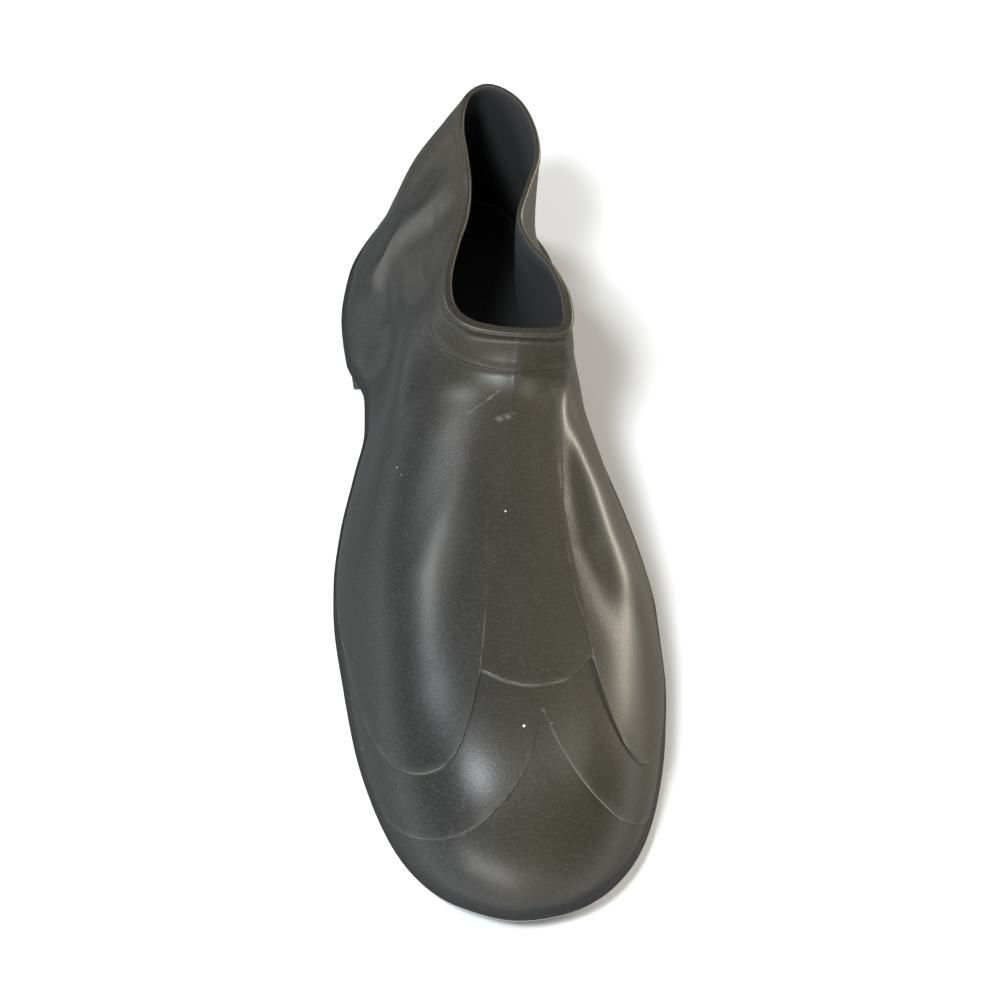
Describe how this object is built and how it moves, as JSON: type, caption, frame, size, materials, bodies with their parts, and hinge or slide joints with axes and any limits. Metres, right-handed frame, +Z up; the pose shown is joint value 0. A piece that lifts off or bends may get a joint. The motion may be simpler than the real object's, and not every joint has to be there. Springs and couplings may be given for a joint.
{
  "type": "rubber overshoe",
  "caption": "Slip-on rubber overshoe for a left work shoe, with a low slack collar, rounded toe and ribbed sole with a heel block.",
  "frame": {"origin": "on the floor, under the middle of the shoe's bounding box", "axes": "+Z up, heel towards +Y, toe towards -Y, lateral side towards +X, medial side towards -X"},
  "size_m": [0.1207, 0.3172, 0.097],
  "materials": {
    "rubber": "satin",
    "sole_rubber": "matt"
  },
  "bodies": {
    "root": {"upper": "rubber", "outsole": "sole_rubber"}
  },
  "joints": []
}
